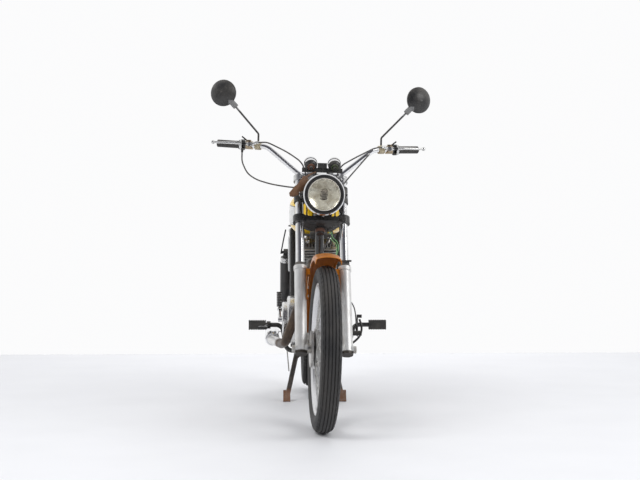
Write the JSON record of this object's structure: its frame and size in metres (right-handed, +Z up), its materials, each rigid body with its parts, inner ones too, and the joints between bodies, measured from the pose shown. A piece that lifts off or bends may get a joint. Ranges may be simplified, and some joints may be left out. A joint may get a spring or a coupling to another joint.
{
  "type": "scrambler motorcycle",
  "caption": "Light scrambler motorcycle on its centre stand, with wire wheels, high handlebar, finned engine, steering, spinning wheels and a folding stand.",
  "frame": {"origin": "on the ground under the middle of the whole machine's box, mirrors included", "axes": "+X is the machine's left side, -Y is forward, +Z is up"},
  "size_m": [0.9156, 2.0013, 1.3972],
  "materials": {
    "frame_black": "gloss black enamel, worn",
    "tank_yellow": "yellow enamel with bright side panels",
    "panel_silver": "silver paint",
    "fender_orange": "metallic orange gold",
    "chrome": "polished chrome with light pitting",
    "fork_alloy": "cast and polished aluminium",
    "steel": "plated steel",
    "wheel_metal": "alloy rim and hub with steel spokes",
    "header_brown": "heat darkened steel",
    "tyre": "dusty black rubber",
    "rubber": "black rubber",
    "black_plastic": "satin black",
    "seat_cover": "black vinyl",
    "lens": "clear fluted glass",
    "red_lens": "red lens",
    "plate": "blank white plate"
  },
  "bodies": {
    "frame": {"frame_main": "frame_black", "frame_rear": "frame_black", "frame_cradle": "frame_black", "swingarm": "frame_black", "rear_shocks": "black_plastic", "rear_axle": "steel", "drive_chain": "steel", "crankcase": "fork_alloy", "engine_covers": "fork_alloy", "cylinder": "fork_alloy", "cylinder_head": "fork_alloy", "header_pipe": "header_brown", "silencer": "chrome", "carburettor": "fork_alloy", "air_box": "black_plastic", "tank": "tank_yellow", "seat": "seat_cover", "side_panels": "panel_silver", "rear_fender": "fender_orange", "tail_lamp": "red_lens", "number_plate": "plate", "footpeg_rubbers": "rubber", "kick_starter": "chrome", "foot_levers": "steel", "chain_guard": "black_plastic"},
    "steering": {"fork_sliders": "fork_alloy", "fork_stanchions": "steel", "lower_yoke": "frame_black", "upper_yoke": "fork_alloy", "front_axle": "steel", "front_fender": "fender_orange", "handlebar": "chrome", "grips": "rubber", "control_levers": "chrome", "mirrors": "black_plastic", "headlight_shell": "black_plastic", "headlight_rim": "chrome", "headlight_lens": "lens", "instruments": "black_plastic", "control_cables": "rubber"},
    "front_wheel": {"front_tyre": "tyre", "front_wheel": "wheel_metal"},
    "rear_wheel": {"rear_tyre": "tyre", "rear_wheel": "wheel_metal", "rear_sprocket": "steel"},
    "centre_stand": {"centre_stand": "frame_black"}
  },
  "joints": [
    {"name": "steering_turn", "type": "hinge", "parent": "frame", "child": "steering", "pos_m": [-0.0088, -0.32259, 0.87692], "axis": [0, 0.4695, 0.8829], "range_deg": [-41.3, 34.7]},
    {"name": "front_wheel_spin", "type": "hinge", "parent": "steering", "child": "front_wheel", "pos_m": [-0.00563, -0.68092, 0.31996], "axis": [0.9983, 0.0508, -0.027], "continuous": true},
    {"name": "rear_wheel_spin", "type": "hinge", "parent": "frame", "child": "rear_wheel", "pos_m": [-0.0088, 0.669, 0.346], "axis": [1, 0, 0], "continuous": true},
    {"name": "centre_stand_fold", "type": "hinge", "parent": "frame", "child": "centre_stand", "pos_m": [-0.0088, 0.299, 0.255], "axis": [1, 0, 0], "range_deg": [0, 80]}
  ]
}
